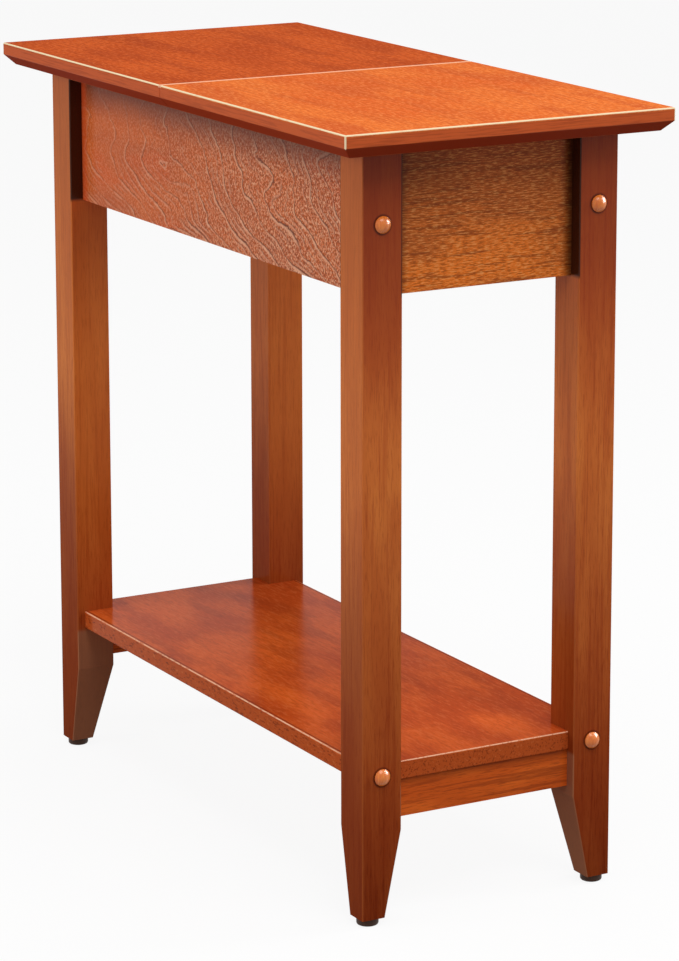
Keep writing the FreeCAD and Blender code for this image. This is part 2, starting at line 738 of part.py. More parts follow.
def make_barrel(half, end, side_name, side):
    name = f"hinge_barrel_{half}_{side_name}"
    barrel = turned(f"{name}_blank", [
        ("0", "0"),
        ("barrel_diameter / 2", "0"),
        ("barrel_diameter / 2", "barrel_length - barrel_chamfer"),
        ("barrel_diameter / 2 - barrel_chamfer", "barrel_length"),
        ("0", "barrel_length"),
    ])
    hinge_y = f"{side} * hinge_offset"
    place(barrel, f"{end} * seam_gap / 2", hinge_y, "barrel_z", ALONG["x", end])
    slot = make_sector(
        f"{name}_slot", "slot_inner_radius", "slot_outer_radius",
        "-90 - slot_angle", "2 * slot_angle", "slot_width"
    )
    place(slot, "0", f"{hinge_y} + slot_width / 2", "hinge_axis_z", ALONG["y", -1])
    slotted = doc.addObject("Part::Cut", name)
    slotted.Base = barrel
    slotted.Tool = slot
    return slotted


def make_leaf(leaf, side_name, side):
    label, back_angle, lead_angle, rank = leaf
    sector = make_sector(
        f"{label}_{side_name}", "leaf_inner_radius", "leaf_outer_radius",
        f"-90 - {back_angle}", f"{back_angle} + {lead_angle}", "leaf_thickness"
    )
    leaf_y = f"{side} * hinge_offset + {rank} * leaf_pitch + leaf_thickness / 2"
    place(sector, "0", leaf_y, "hinge_axis_z", ALONG["y", -1])
    return sector


LEAVES = [
    ("hinge_leaf_inner", "leaf_reach_angle", "leaf_lead_angle", -1),
    ("hinge_leaf_middle", "leaf_middle_angle", "leaf_middle_angle", 0),
    ("hinge_leaf_outer", "leaf_lead_angle", "leaf_reach_angle", 1),
]


def make_hinges():
    for half, end in (("fixed", -1), ("lid", 1)):
        barrels = [make_barrel(half, end, side_name, side) for side_name, side in SIDES]
        keep(f"hinge_barrels_{half}", *barrels)
    for leaf in LEAVES:
        keep(leaf[0], *[make_leaf(leaf, side_name, side) for side_name, side in SIDES])


# The whole table
make_tops()
for corner, end, side in CORNERS:
    make_leg(corner, end, side)
    make_glide(corner, end, side)
for side_name, side in SIDES:
    make_side_apron(side_name, side)
for end_name, end in ENDS:
    make_end_apron(end_name, end)
    make_rail(end_name, end)
make_storage_box()
make_shelf()
make_bolt_set("apron", "apron_middle", {1: ALONG["y", -1], -1: ALONG["y", 1]})
upside_down = FreeCAD.Rotation(X_AXIS, 180)
make_bolt_set("shelf", "shelf_middle", {1: upside_down, -1: upside_down})
make_all_dowels()
make_rail_screws()
make_brackets()
make_hinges()
doc.recompute()

for thing in doc.Objects:
    if "Invalid" in thing.State or "Error" in thing.State:
        raise RuntimeError(f"{thing.Label} failed: {thing.State}")
for thing in subparts:
    if thing.Shape.isNull() or not thing.Shape.isValid():
        raise RuntimeError(f"{thing.Label} has no sound shape")

os.makedirs("parts", exist_ok=True)
for thing in subparts:
    thing.Shape.exportStep(f"parts/{thing.Label}.step")
    print(thing.Label, len(thing.Shape.Solids), round(thing.Shape.Volume))
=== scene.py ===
# %% [markdown]
# # The looks of a flip top end table
# The construction of this narrow end table is already settled: legs, aprons, shelf, hinges and the
# two halves of the top come as a fixed frame in metres, with the floor at zero. This lesson gives
# the frame its cherry stain and lacquer, models the small turned and moulded pieces again, and sets
# up a plain studio. Nothing of the frame is moved.

# %% Load the frame
import math

import bmesh
import bpy
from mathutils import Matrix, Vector


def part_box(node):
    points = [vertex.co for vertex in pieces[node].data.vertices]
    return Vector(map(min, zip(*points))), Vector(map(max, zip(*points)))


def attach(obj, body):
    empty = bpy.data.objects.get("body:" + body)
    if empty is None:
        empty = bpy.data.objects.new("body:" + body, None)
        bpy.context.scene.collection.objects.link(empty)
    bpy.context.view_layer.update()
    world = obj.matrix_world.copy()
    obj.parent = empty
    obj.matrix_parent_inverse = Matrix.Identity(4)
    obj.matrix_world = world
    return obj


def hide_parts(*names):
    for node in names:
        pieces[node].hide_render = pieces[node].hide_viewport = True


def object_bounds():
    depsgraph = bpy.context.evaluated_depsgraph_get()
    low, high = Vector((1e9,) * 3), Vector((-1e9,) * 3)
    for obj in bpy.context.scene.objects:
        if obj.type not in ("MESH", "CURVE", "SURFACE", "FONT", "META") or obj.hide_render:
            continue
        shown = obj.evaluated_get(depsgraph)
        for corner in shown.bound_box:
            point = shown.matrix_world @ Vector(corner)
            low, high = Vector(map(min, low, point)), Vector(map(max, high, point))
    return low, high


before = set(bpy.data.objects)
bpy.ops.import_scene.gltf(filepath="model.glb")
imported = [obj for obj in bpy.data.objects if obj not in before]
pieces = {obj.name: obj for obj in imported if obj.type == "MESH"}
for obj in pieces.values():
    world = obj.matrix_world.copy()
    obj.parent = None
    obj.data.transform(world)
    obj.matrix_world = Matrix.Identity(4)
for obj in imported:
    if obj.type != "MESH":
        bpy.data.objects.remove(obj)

cad_low, cad_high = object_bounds()
print("frame loaded:", len(pieces), "pieces, table height", round(cad_high.z, 3), "m")

# %% [markdown]
# ## The camera
# The table is seen from about a metre above the floor and three metres away, between its end and
# its long side, through a long lens, which keeps the legs nearly parallel. The optical axis is
# placed above the middle of the picture, which is what the camera's shift does: it slides the
# picture without turning the camera, so the legs lean less than with a camera tilted more.

# %% Set up the camera
picture_width = 679
picture_height = 961
axis_column = 364.5
axis_row = 350.5
focal_pixels = 3829.4
camera_place = (2.6417, -1.4502, 1.0240)
camera_turn = math.radians(60.55)
camera_tilt = math.radians(90 - 11.97)

bpy.ops.object.camera_add(location=camera_place, rotation=(camera_tilt, 0, camera_turn))
camera = bpy.context.object
camera.name = "studio_camera"
camera.data.lens = focal_pixels * camera.data.sensor_width / picture_height
camera.data.shift_x = (picture_width / 2 - axis_column) / picture_height
camera.data.shift_y = (axis_row - picture_height / 2) / picture_height
camera.data.clip_end = 100
bpy.context.scene.camera = camera
bpy.context.scene.view_settings.view_transform = "Standard"
print("camera lens", round(camera.data.lens, 1), "mm")

# %% [markdown]
# ## Helpers for shader nodes
# Every finish below is a small tree of shader nodes. Adding a node, setting its sockets and linking
# it are always the same three steps, so one helper does them: a value that is itself a socket is
# linked, and any other value is typed into the socket. A socket also knows the tree it belongs to,
# so later nodes need not be told. The same trees could be drawn by hand in the shader editor.

# %% Node helpers
def fill(socket, value):
    """Links a socket to another socket, or types a plain value into it."""
    if isinstance(value, bpy.types.NodeSocket):
        socket.id_data.links.new(value, socket)
    else:
        socket.default_value = value


def add_node(tree, kind, sockets=None, **settings):
    """Adds a shader node, sets its options, and fills or links its sockets."""
    node = tree.nodes.new("ShaderNode" + kind)
    for option, value in settings.items():
        setattr(node, option, value)
    for socket, value in (sockets or {}).items():
        fill(node.inputs[socket], value)
    return node


def maths(operation, first, second=0.0):
    """One sum on numbers. The first one is a socket."""
    return add_node(first.id_data, "Math", {0: first, 1: second}, operation=operation).outputs[0]


def times(first, second):
    """One number times another."""
    return maths("MULTIPLY", first, second)


def fade(value, start, end, low=0.0, high=1.0):
    """A soft step: low before start, high after end."""
    sockets = {"Value": value, "From Min": start, "From Max": end, "To Min": low, "To Max": high}
    return add_node(value.id_data, "MapRange", sockets, interpolation_type="SMOOTHSTEP").outputs[0]


def coordinates(place):
    """A place as three separate numbers."""
    apart = add_node(place.id_data, "SeparateXYZ", {0: place})
    return apart.outputs[0], apart.outputs[1], apart.outputs[2]


def new_finish(name):
    """An empty material with its Principled shader, and the place on the piece in metres."""
    finish = bpy.data.materials.new(name)
    finish.use_nodes = True
    tree = finish.node_tree
    tree.nodes.clear()
    shader = add_node(tree, "BsdfPrincipled")
    add_node(tree, "OutputMaterial", {"Surface": shader.outputs[0]})
    place = add_node(tree, "TexCoord").outputs["Object"]
    return finish, shader, place


def dress(finish, *names):
    """Gives a finish to pieces of the frame."""
    for name in names:
        pieces[name].material_slots[0].material = finish


print("node helpers ready")

# %% [markdown]
# ## Coats of colour
# A stained surface is built coat over coat: a ground colour, then darker or paler tones that show
# only in some places. Each is laid over the last by a share from 0 to 1, which comes from a noise or
# from a mask of a part of the piece. Colours are written as they look on a screen and turned into
# the shader's linear numbers.

# %% Colour helpers
def seen(red, green, blue):
    """A colour written as it looks on a screen, 0 to 255, as the shader's linear colour."""
    linear = []
    for level in (red, green, blue):
        share = level / 255
        linear.append(((share + 0.055) / 1.055) ** 2.4 if share > 0.04 else share / 12.92)
    return (*linear, 1)


def lay_over(share, under, over, way="MIX"):
    """Lays one colour over another, as a thin coat of stain does."""
    node = add_node(share.id_data, "Mix", data_type="RGBA", blend_type=way)
    for socket, value in ((0, share), (6, under), (7, over)):
        fill(node.inputs[socket], value)
    return node.outputs[2]


def stain(under, over, share, value, start, end, way="MIX"):
    """Lays a colour over another where a value goes from start to end, at most by a share."""
    return lay_over(fade(value, start, end, 0.0, share), under, over, way)


def tint(under, over, mask, share):
    """Lays a colour over another on a masked part, by a share of the mask."""
    return lay_over(times(mask, share), under, over)


print("colour helpers ready")

# %% [markdown]
# ## Wood grain and lacquer
# Wood is long soft streaks in one direction. A noise texture becomes wood when its space is
# stretched: the Mapping node, set to Texture, turns the space so that its first axis lies along the
# grain, and divides by the size of one streak. So each layer is written as the length and width of
# a streak in metres. Over the colour lies a clear lacquer, which is the shader's coat, and the
# grain is sent to a Bump node as a very shallow relief.

# %% Grain and lacquer helpers
along_x = (0, 0, 0)
along_y = (0, 0, math.radians(90))
along_z = (0, math.radians(-90), 0)
wood_roughness = 0.6


def streaks(place, turn, length, width, detail=2.0, rough=0.5, twist=0.0):
    """Noise drawn out along the grain: one streak is so long and so wide."""
    sockets = {"Vector": place, "Rotation": turn, "Scale": (length, width, width)}
    space = add_node(place.id_data, "Mapping", sockets, vector_type="TEXTURE").outputs[0]
    noise = {"Vector": space, "Scale": 1.0, "Detail": detail, "Roughness": rough, "Distortion": twist}
    return add_node(space.id_data, "TexNoise", noise).outputs[0]


def relief(shader, height, depth, strength=1.0):
    """Turns a noise into a shallow relief, so many metres deep."""
    bump = add_node(shader.id_data, "Bump", {"Height": height, "Strength": strength, "Distance": depth})
    fill(shader.inputs["Normal"], bump.outputs[0])


def lacquer(shader, colour, coat, coat_roughness, grain, depth):
    """Puts colour under a clear lacquer, with the grain as a shallow relief."""
    fill(shader.inputs["Base Color"], colour)
    shader.inputs["Roughness"].default_value = wood_roughness
    shader.inputs["Specular IOR Level"].default_value = 0.0
    shader.inputs["Coat Roughness"].default_value = coat_roughness
    fill(shader.inputs["Coat Weight"], coat)
    relief(shader, grain, depth)


print("grain and lacquer helpers ready")

# %% [markdown]
# ## The top: two leaves of veneer
# Both halves of the top are veneered board with the grain along the table. The stain has taken
# unevenly, so the face is built from four layers of streaks: wide clouds, long mottles, thin fibres
# and short flecks. The lid is given paler tones than the fixed half, so the layers are shared and
# only the four tones differ.

# %% Top veneer: the face
lid_leaf = {
    "light": seen(246, 126, 52), "dark": seen(236, 108, 42),
    "speck": seen(214, 92, 40), "pale": seen(255, 166, 98),
}
fixed_leaf = {
    "light": seen(220, 96, 36), "dark": seen(202, 82, 28),
    "speck": seen(178, 68, 26), "pale": seen(236, 126, 64),
}


def veneer_face(place, leaf):
    """The face of one half of the top, and the three noises that other parts use again."""
    cloud = streaks(place, along_x, 0.16, 0.09)
    mottle = streaks(place, along_x, 0.150, 0.036, detail=3.0, rough=0.55)
    fibre = streaks(place, along_x, 0.090, 0.0020, rough=0.6)
    fleck = streaks(place, along_x, 0.0078, 0.0020, rough=0.65)
    colour = lay_over(fade(cloud, 0.40, 0.60), leaf["dark"], leaf["light"])
    colour = stain(colour, leaf["speck"], 0.65, mottle, 0.48, 0.66)
    colour = stain(colour, leaf["speck"], 0.55, fibre, 0.48, 0.64)
    colour = stain(colour, leaf["speck"], 0.52, fleck, 0.50, 0.62)
    colour = stain(colour, leaf["pale"], 0.40, fleck, 0.49, 0.38)
    return colour, mottle, fibre, fleck


print("veneer leaves: 2, with", len(lid_leaf), "tones each")

# %% [markdown]
# ## The top: band, bevel and underside
# A redder band is glued round the edge, the lower edge is bevelled and stained darker, and the
# underside has only one thin coat. All three belong to one board, so they are painted by height.
# The band's grain runs along each side, so it turns at the corner.

# %% Top veneer: band and underside
band = seen(212, 96, 46)
band_dark = seen(166, 68, 32)
bevel_stain = seen(160, 58, 30)
band_start = 0.0012
band_full = 0.0022
end_start = 0.0004
end_full = 0.0002
bevel_rise = 0.0084
bevel_blur = 0.0008
underside_clear = 0.0003
underside_start = 0.0002
underside_full = 0.00005


def edge_band(place, at_end):
    """The red brown band, with its grain along the sides and along the ends."""
    side_grain = streaks(place, along_x, 0.030, 0.0012, detail=3.0, rough=0.6)
    end_grain = streaks(place, along_y, 0.030, 0.0012, detail=3.0, rough=0.6)
    side_tone = stain(band, band_dark, 0.44, side_grain, 0.46, 0.64)
    end_tone = stain(band, band_dark, 0.55, end_grain, 0.44, 0.62)
    return lay_over(at_end, side_tone, end_tone)


def underside_tone(mottle, fibre):
    """The plain underside, with one thin coat of stain."""
    ground = fade(mottle, 0.40, 0.62)
    tone = lay_over(ground, seen(192, 98, 52), seen(172, 80, 40))
    return stain(tone, seen(142, 62, 30), 0.60, fibre, 0.50, 0.66)


print("edge band begins", band_start * 1000, "mm below the face")

# %% [markdown]
# ## The top: painted edge highlights
# The upper edges catch the light, and a painted highlight draws a cream line round the top and
# down its corners, and a warmer line on both sides of the seam. The line is painted by place: where
# a point is near the upper face and near an edge at the same time. A slow noise breaks the line up
# unevenly.

# %% Top veneer: painted edge highlights
edge_highlight_width = 0.0013
seam_highlight_width = 0.0024
edge_core = 0.65
painted_edge_highlight = seen(255, 234, 192)
painted_seam_highlight = seen(255, 196, 158)


def edge_closeness(value, edge, width):
    """One close to an edge, fading to nothing a width further in."""
    return fade(value, edge - width, edge - width * edge_core)


def painted_rim_highlight(place, near_side, near_end, near_top):
    """The painted highlight along the upper edges and down the corners, broken up by a noise."""
    rim = times(maths("MAXIMUM", near_side, near_end), near_top)
    corner = times(near_side, near_end)
    highlight_breakup = streaks(place, along_x, 0.02, 0.02)
    highlit = maths("MAXIMUM", rim, corner)
    return times(highlit, fade(highlight_breakup, 0.25, 0.45, 0.55, 1.0))


print("rubbed edges:", edge_highlight_width * 1000, "mm, at the seam", seam_highlight_width * 1000, "mm")

# %% [markdown]
# ## The top: put together
# Now the parts are laid over each other: face, band, bevel, underside, and last the painted highlight
# lines.
# One half lies at positive X and the other at negative X, so the way from the seam is taken from the
# piece's own box. The band keeps more lacquer than the face, which is rubbed dull.

# %% Dress the two halves of the top
face_coat = 0.03
band_coat = 0.22


def top_veneer(name, node, leaf):
    """Veneer for one half of the top, with its band, bevel, underside and painted edge highlights."""
    finish, shader, place = new_finish(name)
    x, y, z = coordinates(place)
    low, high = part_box(node)
    way = 1.0 if high.x > -low.x else -1.0
    end_edge = max(high.x, -low.x)
    seam_edge = -low.x if way > 0 else high.x
    outward = times(x, way)
    inward = times(x, -way)
    colour, mottle, fibre, fleck = veneer_face(place, leaf)
    on_band = fade(z, high.z - band_start, high.z - band_full)
    at_end = fade(outward, end_edge - end_start, end_edge - end_full)
    colour = lay_over(on_band, colour, edge_band(place, at_end))
    below_band = fade(z, low.z + bevel_rise, low.z + bevel_rise - bevel_blur)
    above_underside = fade(z, low.z + underside_full, low.z + underside_clear)
    on_bevel = times(below_band, above_underside)
    colour = lay_over(on_bevel, colour, bevel_stain)
    under = fade(z, low.z + underside_start, low.z + underside_full)
    colour = lay_over(under, colour, underside_tone(mottle, fibre))
    near_side = edge_closeness(maths("ABSOLUTE", y), high.y, edge_highlight_width)
    near_end = edge_closeness(outward, end_edge, edge_highlight_width)
    near_top = edge_closeness(z, high.z, edge_highlight_width)
    highlit = painted_rim_highlight(place, near_side, near_end, near_top)
    # painted highlight: a cream line along the upper edges and down the corners
    colour = lay_over(highlit, colour, painted_edge_highlight)
    near_seam = edge_closeness(inward, seam_edge, seam_highlight_width)
    seam_top = edge_closeness(z, high.z, seam_highlight_width)
    # painted highlight: a warmer line on both sides of the seam
    colour = tint(colour, painted_seam_highlight, times(near_seam, seam_top), 0.9)
    band_only = maths("SUBTRACT", maths("SUBTRACT", on_band, on_bevel), under)
    coat = fade(band_only, 0.0, 1.0, face_coat, band_coat)
    lacquer(shader, colour, coat, 0.22, fleck, depth=0.00005)
    return finish


lid_veneer = top_veneer("lid_veneer", "lid", lid_leaf)
fixed_veneer = top_veneer("fixed_top_veneer", "fixed_top", fixed_leaf)
dress(lid_veneer, "lid")
dress(fixed_veneer, "fixed_top")
print("top veneers:", lid_veneer.name, fixed_veneer.name)

# %% [markdown]
# ## The legs: grain and painted light by height
# The legs are solid wood with straight grain up and down. A colour ramp over the height paints
# light and shade into them: paler in the middle of a leg, darker at the foot and towards the top,
# where less light reaches. Fine fibres run up the leg over it. All four legs share the finish,
# because each stands at its own place in the noise.

# %% Leg wood: grain and painted light by height
def height_tone(z, stops):
    """A colour that changes with height: stops are heights in metres with their colours."""
    top = stops[-1][0]
    ramp = add_node(z.id_data, "ValToRGB", {0: maths("DIVIDE", z, top)})
    marks = ramp.color_ramp.elements
    while len(marks) < len(stops):
        marks.new(1.0)
    for mark, (height, colour) in zip(marks, stops):
        mark.position = height / top
        mark.color = colour
    return ramp.outputs[0]


# painted light and shade by height: darkest at the foot, palest in the middle
leg_painted_light = [
    (0.0, seen(140, 59, 22)),
    (0.07, seen(156, 68, 28)),
    (0.16, seen(184, 90, 38)),
    (0.34, seen(222, 124, 54)),
    (0.46, seen(208, 102, 42)),
    (0.61, seen(182, 76, 30)),
]


def leg_grain(place, z):
    """The ground of a leg with painted light and shade by height, its grain, and the fibres for the
    relief.
    """
    cloud = streaks(place, along_z, 0.12, 0.020)
    vein = streaks(place, along_z, 0.10, 0.0028, rough=0.55, twist=0.2)
    fibre = streaks(place, along_z, 0.012, 0.0008, rough=0.6)
    colour = height_tone(z, leg_painted_light)
    colour = stain(colour, seen(214, 160, 120), 0.40, cloud, 0.38, 0.66, "MULTIPLY")
    colour = stain(colour, seen(206, 150, 120), 0.38, vein, 0.50, 0.66, "MULTIPLY")
    colour = stain(colour, seen(190, 144, 118), 0.40, fibre, 0.50, 0.68, "MULTIPLY")
    return colour, fibre


print("leg shading:", len(leg_painted_light), "heights")

# %% [markdown]
# ## The legs: faces, corners and feet
# Light and shade are painted on each face of a leg: the side faces turn golden higher up and dusky
# lower down, the faces towards the middle of the table are painted lighter and warmer, and the end
# faces are painted dark in the shade under the top. A faint painted highlight runs up the edges,
# painted shade fills the corners beside the aprons, and a painted greyish reflection dulls the
# tapered inner faces of the feet. Each face is found by its place: close to the outer or inner side
# of the leg's box, or to the plane of the taper.

# %% Leg wood: faces, corners and feet
leg_low, leg_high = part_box("leg_front_right")
arris_width = 0.0010
taper_length = 0.0675
taper_depth = 0.014
recess_start = 0.0016
recess_full = 0.0006
recess_blur = 0.002
foot_blur = 0.004


def both_faces(value, low, high):
    """Masks for the outer and the inner face of a leg."""
    outer = edge_closeness(value, high, arris_width)
    inner = edge_closeness(times(value, -1.0), -low, arris_width)
    return outer, inner


def leg_faces(colour, along, beside, z):
    """Paints light and shade on the faces of a leg and a highlight on its edges. Gives the colour and
    the outer end's mask.
    """
    near_end, near_inner_end = both_faces(along, leg_low.x, leg_high.x)
    near_side, near_inner_side = both_faces(beside, leg_low.y, leg_high.y)
    end_faces = maths("MAXIMUM", near_end, near_inner_end)
    side_faces = maths("MAXIMUM", near_side, near_inner_side)
    side_mask = fade(side_faces, 0.2, 0.8)
    # painted light and shade on the side faces: golden higher up, dusky lower down
    painted_light_high = fade(z, 0.24, 0.46, 0.0, 0.26)
    colour = tint(colour, seen(240, 150, 70), side_mask, painted_light_high)
    painted_shade_low = fade(z, 0.36, 0.20, 0.0, 0.40)
    colour = tint(colour, seen(128, 52, 20), side_mask, painted_shade_low)
    # painted light on the inner end faces
    painted_light_inner = fade(z, 0.10, 0.30, 0.0, 0.25)
    colour = tint(colour, seen(248, 138, 52), near_inner_end, painted_light_inner)
    # painted shade under the top on the outer end faces
    painted_shade_under_top = fade(z, 0.36, 0.53, 0.0, 0.60)
    colour = tint(colour, seen(140, 50, 18), near_end, painted_shade_under_top)
    # painted highlight along the edges of the leg
    arris = times(end_faces, side_faces)
    return tint(colour, seen(240, 140, 76), arris, 0.16), near_end


def leg_corners(colour, along, beside, z):
    """Paints shade into the corners beside the aprons and a greyish reflection on the inner faces of
    the feet.
    """
    apron_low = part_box("side_apron_left")[0].z
    shelf_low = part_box("shelf")[0].z
    # painted shade in the corners beside the aprons
    beside_end = fade(beside, leg_low.y + recess_start, leg_low.y + recess_full)
    beside_side = fade(along, leg_low.x + recess_start, leg_low.x + recess_full)
    at_apron = fade(z, apron_low - recess_blur, apron_low + recess_blur)
    recess = times(maths("MAXIMUM", beside_end, beside_side), at_apron)
    colour = tint(colour, seen(48, 21, 12), recess, 0.94)
    # painted greyish reflection on the tapered inner faces of the feet, below the shelf
    below_start = maths("MINIMUM", maths("SUBTRACT", z, leg_low.z + taper_length), 0.0)
    set_back = times(below_start, -taper_depth / taper_length)
    from_end = maths("SUBTRACT", maths("SUBTRACT", along, set_back), leg_low.x)
    from_side = maths("SUBTRACT", maths("SUBTRACT", beside, set_back), leg_low.y)
    from_inner = maths("MINIMUM", from_end, from_side)
    inner_face = fade(from_inner, arris_width, arris_width * edge_core)
    under_shelf = fade(z, shelf_low, shelf_low - foot_blur)
    foot_face = times(inner_face, under_shelf)
    return tint(colour, seen(176, 122, 90), foot_face, 0.60)


print("taper of the feet:", taper_length * 1000, "mm high,", taper_depth * 1000, "mm deep")

# %% [markdown]
# ## The legs: painted shade round the buttons
# Each leg carries two wooden buttons on its outer end face, and a thin dark ring of painted shade
# lies round them, where their shadow falls. The frame knows where the buttons are, so the ring is
# drawn by the distance to the nearest button's centre, and stays the same under any light.

# %% Dress the legs
ring_outer = 0.0022
ring_inner = 0.0004
foot_coat = 0.05
upper_coat = 0.28


def button_row(node):
    """Height, radius and distance from the middle of one row of buttons, read from the frame."""
    low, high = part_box(node)
    radius = (high.z - low.z) / 2
    return (low.z + high.z) / 2, radius, high.y - radius


def button_distance(beside, z):
    """The distance to the nearest button's centre, on the end face of a leg."""
    distances = []
    for node in ("apron_bolt_plugs", "shelf_bolt_plugs"):
        level, _, reach = button_row(node)
        across = maths("SUBTRACT", beside, reach)
        rise = maths("SUBTRACT", z, level)
        squares = times(across, across), times(rise, rise)
        distances.append(maths("SQRT", maths("ADD", *squares)))
    return maths("MINIMUM", *distances)


def leg_wood():
    """Stained solid wood for the legs."""
    finish, shader, place = new_finish("leg_wood")
    x, y, z = coordinates(place)
    along = maths("ABSOLUTE", x)
    beside = maths("ABSOLUTE", y)
    colour, fibre = leg_grain(place, z)
    colour, near_end = leg_faces(colour, along, beside, z)
    colour = leg_corners(colour, along, beside, z)
    button_edge = button_row("shelf_bolt_plugs")[1]
    apart = button_distance(beside, z)
    # painted shade: a thin dark ring round each button
    painted_button_shade = fade(apart, button_edge + ring_outer, button_edge + ring_inner, 0.0, 0.75)
    colour = tint(colour, seen(70, 26, 12), near_end, painted_button_shade)
    coat = fade(z, 0.04, 0.40, foot_coat, upper_coat)
    lacquer(shader, colour, coat, 0.20, fibre, depth=0.00005)
    return finish


leg_finish = leg_wood()
dress(leg_finish, "leg_front_left", "leg_front_right", "leg_back_left", "leg_back_right")
print("leg finish:", leg_finish.name)

# %% [markdown]
# ## The aprons: growth rings
# The long aprons are faced with a strongly figured veneer. Growth rings cut almost flat make lines
# that run along the board near its lower edge and sweep up steeply. The formula is the place along
# the board minus a parabola over the height, with its crown a little below the upper edge, and two
# noises that make it wander and ripple. Its fraction repeats for every ring and gives the distance
# to the ring's line. Where the value changes slowly a line would spread into a blot, so the distance
# is divided by the slope, measured a small step further on.

# %% Growth ring helpers
ring_spacing = 0.040
ring_bend = 0.062
crown_drop = 0.026
ring_wander = 0.105
ring_ripple = 0.010
ring_shadow_width = 0.0010
line_core = 0.3
ring_step = 0.0005
least_slope = 0.2


def ring_value(place, crown_height):
    """Which growth ring a place belongs to, as a length in metres."""
    x, _, z = coordinates(place)
    wander = streaks(place, along_x, 0.095, 0.040, detail=1.0, rough=0.4)
    ripple = streaks(place, along_x, 0.014, 0.010)
    drop = maths("SUBTRACT", z, crown_height)
    sweep = maths("DIVIDE", times(drop, drop), ring_bend)
    ring = maths("SUBTRACT", x, sweep)
    ring = maths("ADD", ring, times(wander, ring_wander))
    return maths("ADD", ring, times(ripple, ring_ripple))


def ring_slope(place, ring, crown_height):
    """How fast the ring value changes with the place, so that the lines keep their width."""
    squares = []
    for step in ((ring_step, 0, 0), (0, 0, ring_step)):
        beside = add_node(place.id_data, "VectorMath", {0: place, 1: step}, operation="ADD").outputs[0]
        change = maths("SUBTRACT", ring_value(beside, crown_height), ring)
        change = maths("DIVIDE", change, ring_step)
        squares.append(times(change, change))
    slope = maths("SQRT", maths("ADD", *squares))
    return maths("MAXIMUM", slope, least_slope)


def ring_lines(ring, spacing, slope, width):
    """The pale line and the dark line beside it of each growth ring, a painted highlight and a painted
    shadow, as two shares from 0 to 1.
    """
    share = maths("FRACT", maths("DIVIDE", ring, spacing))
    reach = times(maths("SUBTRACT", share, 0.5), spacing)
    reach = maths("DIVIDE", reach, slope)
    pale = fade(maths("DIVIDE", maths("ABSOLUTE", reach), width), 1.0, line_core)
    beside = maths("ABSOLUTE", maths("SUBTRACT", reach, width))
    dark = fade(beside, ring_shadow_width, ring_shadow_width * line_core)
    return pale, dark


print("growth rings every", ring_spacing * 1000, "mm")

# %% [markdown]
# ## The aprons: plain backs
# Only the outer face of an apron is veneered. The inner face, which shows when the lid is open, and
# the upper edge are plain board with one thin coat of stain. A mask by place finds them, so that
# the same board can carry both finishes.

# %% Apron backs
back_start = 0.0010
back_full = 0.0004
edge_start = 0.0008
edge_full = 0.0003
back_coat = 0.05


def plain_part(across, inner, z, top):
    """One on the inner face and on the upper edge of an apron."""
    inside = fade(across, inner + back_start, inner + back_full)
    on_edge = fade(z, top - edge_start, top - edge_full)
    return maths("MAXIMUM", inside, on_edge)


def apron_back(place, turn):
    """Plain board with one thin coat of stain."""
    cloud = streaks(place, turn, 0.12, 0.020)
    vein = streaks(place, turn, 0.08, 0.0026, twist=0.3)
    tone = lay_over(fade(cloud, 0.38, 0.64), seen(196, 112, 64), seen(176, 94, 52))
    return stain(tone, seen(146, 72, 38), 0.55, vein, 0.50, 0.68)


print("apron backs ready")

# %% [markdown]
# ## The aprons: the long sides
# The ground is warm, with a few redder embers and many fine upright pores, dark ones and pale ones
# painted as glints of light, strongest towards the lid's end. The ring lines lie over the pores:
# fine ones, three to a ring, and broader ones that come and go in patches, each a painted highlight
# with a painted shadow beside it. Painted shade of the overhang darkens the upper part, and a red
# strip of stain marks the far end.

# %% Side apron veneer
shade_start = 0.042
shade_full = 0.006
strip_start = 0.013
strip_full = 0.004
fine_line_width = 0.0013
least_line_width = 0.0010
most_line_width = 0.0020
fine_ring_start = 0.070
fine_ring_full = 0.020


def side_ground(place, near_end):
    """The ground of a long apron with dark pores and painted glints in the pale pores, and the pores
    for the relief.
    """
    pore = streaks(place, along_z, 0.0022, 0.0013, rough=0.7)
    grit = streaks(place, along_z, 0.0070, 0.0020, rough=0.6)
    cloud = streaks(place, along_x, 0.10, 0.035)
    ember = streaks(place, along_x, 0.09, 0.040, detail=1.0)
    colour = lay_over(fade(cloud, 0.36, 0.66), seen(212, 99, 46), seen(228, 109, 48))
    colour = stain(colour, seen(232, 100, 38), 0.6, ember, 0.56, 0.70)
    gritty = fade(grit, 0.50, 0.64, 0.0, 0.25)
    colour = tint(colour, seen(150, 70, 44), gritty, near_end)
    dark_pore = fade(pore, 0.49, 0.38, 0.0, 0.70)
    colour = tint(colour, seen(130, 56, 32), dark_pore, near_end)
    # painted glints of light in the pale pores
    pore_glint = fade(pore, 0.52, 0.60, 0.0, 0.90)
    return tint(colour, seen(255, 200, 158), pore_glint, near_end), pore


